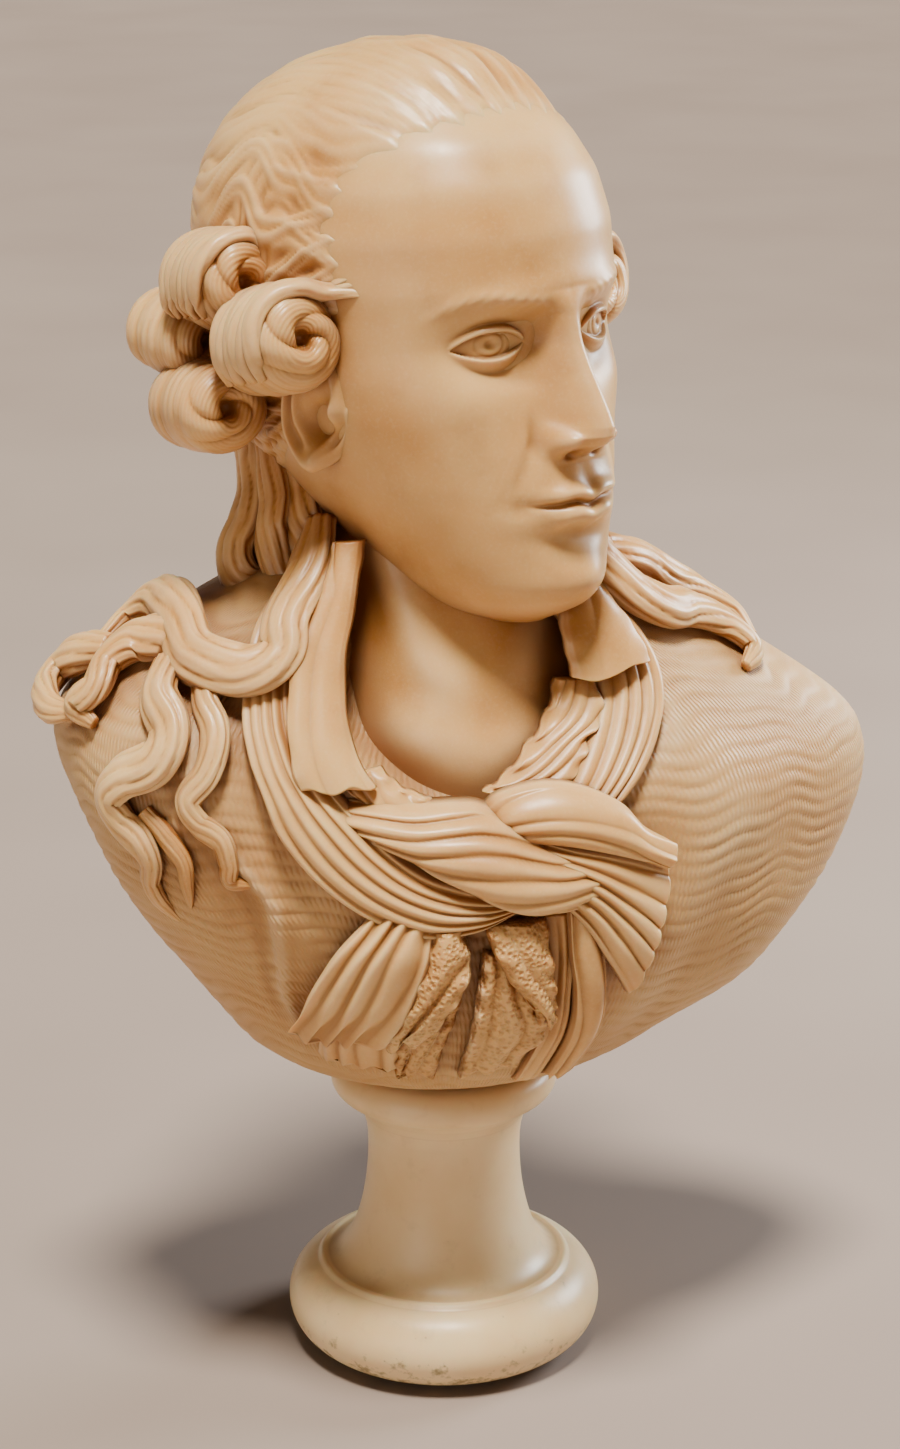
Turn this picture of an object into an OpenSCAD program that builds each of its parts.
// Portrait bust in marble on a turned marble socle.
// The bust is one carved block, hollowed behind, with an iron dowel set in lead.
// It faces -Y, +Z is up, and the origin is the centre of the socle's underside.
// All sizes are in millimetres and angles in degrees.

/* [Socle] */
// Diameter of the round foot
foot_d = 149; // [140:1:160]
// Height from the ground to the top of the collar
socle_h = 146; // [140:1:155]
// Diameter of the narrow waist
waist_d = 72; // [66:1:80]
// Diameter of the collar under the bust
collar_d = 107; // [100:1:112]
// Thickness of the felt under the foot
felt_t = 2; // [1:0.5:4]

/* [Dowel] */
// Diameter of the iron dowel
dowel_d = 20; // [16:1:24]
// How far the dowel reaches into the bust
dowel_reach = 90; // [70:1:100]
// Wall of the lead around the dowel
lead_wall = 4; // [3:0.5:5]

/* [Bust] */
// Width across the cut shoulders
bust_w = 374; // [360:1:386]
// Height from the bust's seat to the crown of the skull
bust_h = 464; // [458:1:470]
// Thickness of the marble left around the hollow
wall = 27; // [24:1:32]
// Height above the seat where the hollow ends
hollow_h = 112; // [100:1:118]

/* [Head] */
// Turn of the head towards the bust's left
head_turn = 33; // [24:1:38]
// Lift of the chin
head_lift = 5; // [0:1:8]
// Height of the head from chin to crown
head_h = 236; // [228:1:240]

/* [Hidden] */

marble = "#d9bd92";
old_marble = "#e6dac0";
iron = "#4a4643";
lead = "#7d7f83";
felt = "#3d4a3c";

fine = 96;        // facets a turn on exact round pieces
run_gap = 0.3;    // clearance where the bust turns on its seat
washer_t = 3;     // lead washer on the collar
sleeve_t = 2.5;   // wall of the sleeve that lines the socle
sleeve_gap = 0.08; // running clearance of the dowel in the sleeve
seat_z = socle_h + washer_t + run_gap;
pocket_d = 56;    // counterbore under the foot, for the nut
pocket_h = 34;
nut_h = 14;
nut_flats = 30;
plate_t = 4;
plate_d = 50;
cut_y = 10;       // the flat cut behind the shoulders

/* ---- shared shape functions ---- */

function unit(v) = v / max(norm(v), 1e-6);
function bump(x, centre, spread) = exp(-pow((x - centre) / spread, 2));
function ramp(x, low, high) =
    let (k = min(1, max(0, (x - low) / (high - low)))) k * k * (3 - 2 * k);
// A point of the Catmull-Rom curve between b and c
function between(a, b, c, d, k) = 0.5 * (2 * b + (c - a) * k
    + (2 * a - 5 * b + 4 * c - d) * k * k + (3 * b - a - 3 * c + d) * k * k * k);
// A smooth path through the points p, with n steps between neighbours
function curve(p, n) = let (last = len(p) - 1) [
    for (i = [0 : last - 1], j = [0 : n - 1])
        between(p[max(i - 1, 0)], p[i], p[i + 1], p[min(i + 2, last)], j / n),
    p[last]];

// A closed solid skinned over rings that all have the same number of points
module skin(rings) {
    n = len(rings[0]);
    m = len(rings);
    sides = [for (i = [0 : m - 2], j = [0 : n - 1]) let (k = (j + 1) % n)
        each [[i * n + j, (i + 1) * n + j, i * n + k],
              [i * n + k, (i + 1) * n + j, (i + 1) * n + k]]];
    start = [for (j = [1 : n - 2]) [0, j, j + 1]];
    end = [for (j = [1 : n - 2]) [(m - 1) * n, (m - 1) * n + j + 1, (m - 1) * n + j]];
    polyhedron([for (r = rings) each r], concat(sides, start, end), convexity = 8);
}

/* ---- the carved torso ---- */

// Rows of height above the seat, half width, depth in front and depth behind
torso_rows = [
    [0, 44, 46, 38], [3, 62, 56, 42], [9, 83, 69, 48], [19, 99, 80, 56],
    [33, 113, 88, 64], [46, 126, 95, 70], [62, 141, 101, 75], [78, 153, 105, 79],
    [94, 164, 107, 82], [108, 172, 106, 84], [122, 179, 104, 86], [138, 185, 101, 88],
    [154, 187, 97, 88], [168, 183, 91, 86], [180, 173, 84, 83], [192, 158, 77, 79],
    [204, 140, 71, 75], [216, 120, 67, 71], [228, 98, 63, 67], [240, 80, 60, 63],
    [252, 69, 57, 61], [266, 60, 55, 60], [282, 57, 54, 60], [310, 56, 54, 60]];
spread = bust_w / 374;
function torso_size(h, k) = lookup(h, [for (r = torso_rows) [r[0], r[k]]]);
slope = 0.07;     // the bust's right shoulder is carried higher than the left
// A point on the torso at angle t from the front, towards the bust's left
function on_torso(t, h, lift = 0) =
    let (a = torso_size(h, 1) * spread + lift,
         d = torso_size(h, cos(t) > 0 ? 2 : 3) + lift)
    [a * sin(t) + 7 * ramp(h, 0, 60) * ramp(-h, -260, -190), -d * cos(t),
     seat_z + h - slope * a * sin(t) * ramp(h, 0, 60) * ramp(-h, -300, -230)];
function torso_ring(h, lift = 0, sides = 44) =
    [for (i = [0 : sides - 1]) on_torso(360 * i / sides, h, lift)];

module torso() {
    heights = [for (r = torso_rows) r[0]];
    skin([for (h = heights) torso_ring(h)]);
}

// The hollow behind the chest, open to the back and below
module hollow() {
    levels = [for (k = [0 : 6]) 12 + (hollow_h - 12) * k / 6];
    difference() {
        skin([for (h = levels)
            let (close = ramp(h, hollow_h - 50, hollow_h + 10),
                 a = (torso_size(h, 1) * spread - wall) * (1 - 0.45 * close),
                 f = (torso_size(h, 2) - wall) * (1 - 0.7 * close))
            [for (i = [0 : 31]) let (t = 11.25 * i)
                [a * sin(t), -(cos(t) > 0 ? f : 120) * cos(t), seat_z + h]]]);
        pillar();
    }
}

// The pillar left standing behind the chest, over the dowel
module pillar() {
    translate([0, 4, seat_z - 1]) hull() {
        cylinder(r = 38, h = 8, $fn = 32);
        translate([-34, -22, hollow_h + 20]) cube([68, 52, 10]);
    }
}

/* ---- head ---- */

// Rows of height from the eyes, half width, depth in front and depth behind
head_rows = [
    [-122, 10, 40, -22], [-118, 24, 70, -10], [-112, 34, 88, 4], [-102, 43, 96, 16],
    [-90, 50, 94, 30], [-80, 54, 97, 44], [-70, 58, 98, 58], [-58, 62, 99, 70],
    [-45, 65, 96, 78], [-30, 69, 92, 84], [-12, 72, 87, 90], [0, 73, 87, 93],
    [12, 74, 90, 96], [24, 75, 96, 98], [45, 75, 95, 99], [65, 71, 88, 95],
    [82, 63, 76, 85], [96, 51, 60, 70], [107, 36, 42, 50], [113, 20, 25, 30],
    [115, 7, 9, 11]];
head_k = head_h / 230;
function head_size(z, k) = lookup(z, [for (r = head_rows) [r[0], r[k]]]);
// How far the features stand out of the plain head, at angle t and height z
function feature(t, z) =
    let (s = t > 180 ? t - 360 : t, side = abs(s))
    21 * bump(s, 0, 9) * ramp(z, 14, -36) * ramp(z, -51, -42)
    + 5 * bump(side, 9, 5) * bump(z, -41, 6)
    - 7 * bump(side, 21, 9) * bump(z, 2, 10)
    + 4 * bump(side, 21, 6) * bump(z, -1, 6)
    + 3 * bump(side, 20, 14) * bump(z, 19, 6)
    + 4 * bump(side, 38, 16) * bump(z, -28, 16)
    + 4 * bump(s, 0, 12) * bump(z, -65, 5)
    + 4 * bump(s, 0, 9) * bump(z, -77, 5)
    - 3 * bump(s, 0, 14) * bump(z, -71, 2.5)
    + 3 * bump(s, 0, 10) * bump(z, -101, 9);
function head_ring(z, grow = 0) = [for (i = [0 : 35])
    let (t = i < 18 ? 180 * pow(i / 18, 1.45) : 360 - 180 * pow((36 - i) / 18, 1.45),
         w = (head_size(z, 1) + grow) * head_k,
         f = (head_size(z, 2) + grow + (grow > 0 ? 0 : feature(t, z))) * head_k,
         b = (head_size(z, 3) + grow) * head_k)
    [w * sin(t), cos(t) > 0 ? -f * cos(t) : -b * cos(t), z * head_k + grow * ramp(z, 40, 115)]];
head_at = [-12, 0, seat_z + bust_h - 115 * head_k];
module on_head() {
    translate(head_at) rotate([0, 0, head_turn]) rotate([-head_lift, 0, 0]) children();
}

module skull() {
    skin([for (z = [-122, -118, -110, -102, -93, -83, -77, -71, -65, -58, -50, -45, -40,
                    -33, -24, -12, -4, 3, 11, 19, 30, 50, 70, 88, 102, 112, 115])
        head_ring(z)]);
}

// Hair combed back from a high hairline, with a full crown
module hair_cap() {
    intersection() {
        skin([for (z = [-60, -20, 10, 40, 60, 78, 92, 103, 110, 115]) head_ring(z, 9)]);
        union() {
            rotate([40, 0, 0]) translate([-120, -26, 22]) cube([240, 260, 160]);
            translate([-120, 4, -60]) cube([240, 160, 180]);
        }
    }
}

module ear(side) {
    scale([side, 1, 1]) translate([74, 8, -18]) rotate([-8, 12, 0]) hull() {
        translate([0, 0, 26]) sphere(9, $fn = 12);
        translate([4, 8, 18]) sphere(9, $fn = 12);
        translate([-3, -2, -24]) sphere(6, $fn = 12);
    }
}

// A horizontal roll of hair: where its middle is, its length, radius and turn
module hair_roll(at, length, r, turn) {
    translate(at) rotate([0, 0, turn]) skin([for (k = [-0.5, -0.42, -0.2, 0, 0.2, 0.42, 0.5])
        let (w = r * (abs(k) == 0.5 ? 0.72 : 1 - 0.4 * k * k))
        [for (j = [0 : 11]) let (a = 30 * j) [w * cos(a), k * length, -w * sin(a)]]]);
}

module rolls(side) {
    hair_roll([side * 86, 28, 30], 52, 18, side * 14);
    hair_roll([side * 86, side < 0 ? -12 : 6, 11], 52, 18, side * 6);
    hair_roll([side * 88, 46, -26], 54, 19, side * 14);
}

// Hair falling from behind the ears down the nape
module queue() {
    tube(curve([[-44, 64, 470], [-58, 60, 440], [-60, 52, 410], [-62, 42, 385],
                [-70, 34, 362]], 2), [24, 26, 22, 22, 12], 0.8);
    tube(curve([[20, 86, 470], [14, 88, 440], [8, 84, 410], [2, 80, 385], [0, 84, 362]], 2),
         [34, 34, 28, 24, 14], 0.6);
}

/* ---- hair on the shoulders ---- */

// A flattened tube along the path p, whose half widths w are spread evenly along it
module tube(p, w, flat, sides = 8) {
    last = len(p) - 1;
    skin([for (i = [0 : last])
        let (along = unit(p[min(i + 1, last)] - p[max(i - 1, 0)]),
             out = unit([p[i][0], p[i][1], (p[i][2] - seat_z - 90) * 0.7]),
             wide = unit(cross(along, out)),
             thick = cross(along, wide),
             k = i / last * (len(w) - 1),
             r = lookup(k, [for (j = [0 : len(w) - 1]) [j, w[j]]]))
        [for (j = [0 : sides - 1]) let (a = 360 * j / sides)
            p[i] + r * cos(a) * wide + r * flat * sin(a) * thick]]);
}

// Each lock is a list of [angle, height, lift] on the torso, then its half widths
locks = [
    [[[-56, 262, 6], [-44, 232, 9], [-37, 206, 11], [-46, 198, 11], [-62, 206, 11],
      [-82, 216, 10], [-102, 212, 12], [-104, 198, 10], [-92, 192, 6]], [13, 13, 13, 12, 12, 8]],
    [[[-66, 214, 6], [-80, 208, 9], [-76, 196, 9], [-78, 186, 8], [-88, 186, 9],
      [-94, 194, 9], [-102, 196, 6]], [10, 12, 11, 11, 9]],
    [[[-60, 204, 5], [-51, 192, 7], [-46, 180, 7], [-49, 167, 7], [-54, 154, 6],
      [-50, 138, 6], [-51, 120, 5], [-50, 103, 3]], [9, 12, 12, 10, 9, 7, 3]],
    [[[-52, 204, 5], [-41, 192, 6], [-38, 178, 6], [-40, 160, 6], [-37, 145, 5],
      [-34, 124, 3]], [8, 9, 9, 8, 7, 3]],
    [[[58, 252, 6], [54, 236, 8], [62, 228, 8], [74, 220, 9], [66, 210, 7], [54, 198, 4]],
     [13, 14, 12, 11, 10, 6]],
    [[[104, 244, 6], [88, 230, 8], [94, 214, 8], [84, 202, 4]], [14, 14, 11, 5]]];
module lock(l) {
    tube(curve([for (q = l[0]) on_torso(q[0], q[1], q[2])], 2), l[1], 0.8);
}

/* ---- shirt, cravat and frill ---- */

// One folded-down flap of the shirt collar, a plate with its point cut square
module collar_flap(corners) {
    hull() for (c = corners) translate(on_torso(c[0], c[1], c[2])) sphere(3.5, $fn = 8);
}
flaps = [
    [[-46, 250, 8], [-32, 200, 22], [-28, 162, 20], [-16, 166, 20], [-24, 236, 10]],
    [[44, 258, 8], [36, 220, 18], [18, 202, 16], [18, 236, 12]]];

// The cravat: a thick band that comes down both sides of the neck to the knot
module cravat() {
    tube(curve([for (q = [[-64, 236, 0], [-44, 214, 2], [-33, 182, 4], [-25, 148, 6],
        [-13, 126, 8], [2, 128, 10]]) on_torso(q[0], q[1], q[2])], 2), [14, 22, 26, 22, 15], 0.5);
    tube(curve([for (q = [[60, 246, 0], [44, 226, 2], [27, 192, 4], [12, 160, 6]])
        on_torso(q[0], q[1], q[2])], 2), [12, 22, 22, 12], 0.5);
    hull() for (q = [[-4, 134, 12], [5, 142, 13], [13, 146, 12]])
        translate(on_torso(q[0], q[1], q[2])) sphere(11, $fn = 12);
    // the fan of the bow, towards the bust's left
    for (q = [[13, 20, 160, 150], [20, 23, 150, 122], [23, 25, 124, 92], [25, 24, 96, 68]]) hull() {
        translate(on_torso(8, 144, 10)) sphere(8, $fn = 10);
        translate(on_torso(q[0], q[2], 12)) sphere(4, $fn = 8);
        translate(on_torso(q[1], q[3], 10)) sphere(4, $fn = 8);
    }
}

// The pleated tail and the frill below the knot: leaves of cloth that spread downwards
frill_leaves = [[-15, 112, -34, 50, -27], [-13, 112, -27, 50, -17], [-8, 104, -14, 50, -6],
                [-1, 108, -4, 34, 6], [-1, 108, 4, 40, 9], [13, 100, 12, 24, 17]];
module frill() {
    for (q = frill_leaves) hull() {
        translate(on_torso(q[0], q[1], 3)) sphere(6, $fn = 10);
        translate(on_torso(q[2], q[3], 4)) sphere(4, $fn = 8);
        translate(on_torso(q[4], q[3], 5)) sphere(4, $fn = 8);
    }
}

/* ---- pieces ---- */

module bust() {
    color(marble) difference() {
        union() {
            torso();
            on_head() {
                skull();
                hair_cap();
                for (side = [-1, 1]) {
                    ear(side);
                    rolls(side);
                }
            }
            queue();
            for (l = locks) lock(l);
            for (c = flaps) collar_flap(c);
            cravat();
            frill();
        }
        hollow();
        // the lower back is cut off flat on both sides of the pillar
        for (side = [-1, 1]) translate([side * 160, 100 + cut_y, seat_z + 50])
            cube([256, 200, 104], center = true);
        translate([0, 0, seat_z - 1])
            cylinder(d = dowel_d + 2 * lead_wall + 0.05, h = dowel_reach + 4, $fn = 64);
    }
}

// A turned profile: foot torus, fillet, concave sweep up to the waist, and collar torus
module socle() {
    foot_r = 20;
    collar_r = 9;
    fillet = 59;
    sweep_z = felt_t + 2 * foot_r + 1;
    neck_z = socle_h - 2 * collar_r - 1;
    steps = 24;
    // the sweep is a quarter of an ellipse, from the fillet up to the waist
    sweep = [for (i = [0 : steps]) let (a = 90 * i / steps)
        [waist_d / 2 + (fillet - 3 - waist_d / 2) * (1 - sin(a)),
         neck_z - 26 - (neck_z - 26 - sweep_z) * cos(a)]];
    color(old_marble) difference() {
        union() {
            rotate_extrude($fn = fine) polygon(concat(
                [[0, felt_t], [foot_d / 2 - foot_r, felt_t], [foot_d / 2 - foot_r, felt_t + 30],
                 [fillet, felt_t + 30], [fillet, sweep_z]],
                sweep,
                [[waist_d / 2 + 1.5, neck_z - 8], [waist_d / 2 + 5, neck_z],
                 [collar_d / 2 - collar_r, neck_z + 1], [collar_d / 2 - collar_r, socle_h],
                 [0, socle_h]]));
            rotate_extrude($fn = fine) translate([foot_d / 2 - foot_r, felt_t + foot_r])
                circle(foot_r, $fn = fine);
            rotate_extrude($fn = fine) translate([collar_d / 2 - collar_r, socle_h - collar_r - 0.5])
                circle(collar_r, $fn = fine);
        }
        translate([0, 0, -1]) cylinder(d = dowel_d + 2 * sleeve_t + 2 * sleeve_gap,
                                       h = socle_h + 2, $fn = fine);
        translate([0, 0, -1]) cylinder(d = pocket_d, h = pocket_h + 1, $fn = fine);
    }
}

module felt_pad() {
    color(felt) cylinder(d = foot_d - 46, h = felt_t, $fn = fine);
}

// The lead sleeve that keeps the iron off the marble of the socle
module socle_sleeve() {
    color(lead) difference() {
        translate([0, 0, pocket_h]) cylinder(d = dowel_d + 2 * sleeve_t + 2 * sleeve_gap,
                                             h = socle_h - pocket_h, $fn = fine);
        translate([0, 0, pocket_h - 1])
            cylinder(d = dowel_d + 2 * sleeve_gap, h = socle_h - pocket_h + 2, $fn = fine);
    }
}

module seat_washer() {
    color(lead) translate([0, 0, socle_h]) difference() {
        cylinder(d = 66, h = washer_t, $fn = fine);
        translate([0, 0, -1]) cylinder(d = dowel_d + 1, h = washer_t + 2, $fn = fine);
    }
}

nut_z = pocket_h - run_gap - plate_t - nut_h;
module dowel() {
    color(iron) translate([0, 0, nut_z - 6])
        cylinder(d = dowel_d, h = seat_z + dowel_reach - nut_z + 6, $fn = fine);
}

module dowel_lead() {
    color(lead) translate([0, 0, seat_z + 2]) difference() {
        cylinder(d = dowel_d + 2 * lead_wall, h = dowel_reach - 2, $fn = fine);
        translate([0, 0, -1]) cylinder(d = dowel_d, h = dowel_reach + 2, $fn = fine);
    }
}

module retaining_washer() {
    color(iron) translate([0, 0, nut_z + nut_h]) difference() {
        cylinder(d = plate_d, h = plate_t, $fn = fine);
        translate([0, 0, -1]) cylinder(d = dowel_d, h = plate_t + 2, $fn = fine);
    }
}

module retaining_nut() {
    color(iron) translate([0, 0, nut_z]) difference() {
        cylinder(d = nut_flats / cos(30), h = nut_h, $fn = 6);
        translate([0, 0, -1]) cylinder(d = dowel_d, h = nut_h + 2, $fn = fine);
    }
}

socle();
felt_pad();
socle_sleeve();
seat_washer();
bust();
dowel();
dowel_lead();
retaining_washer();
retaining_nut();
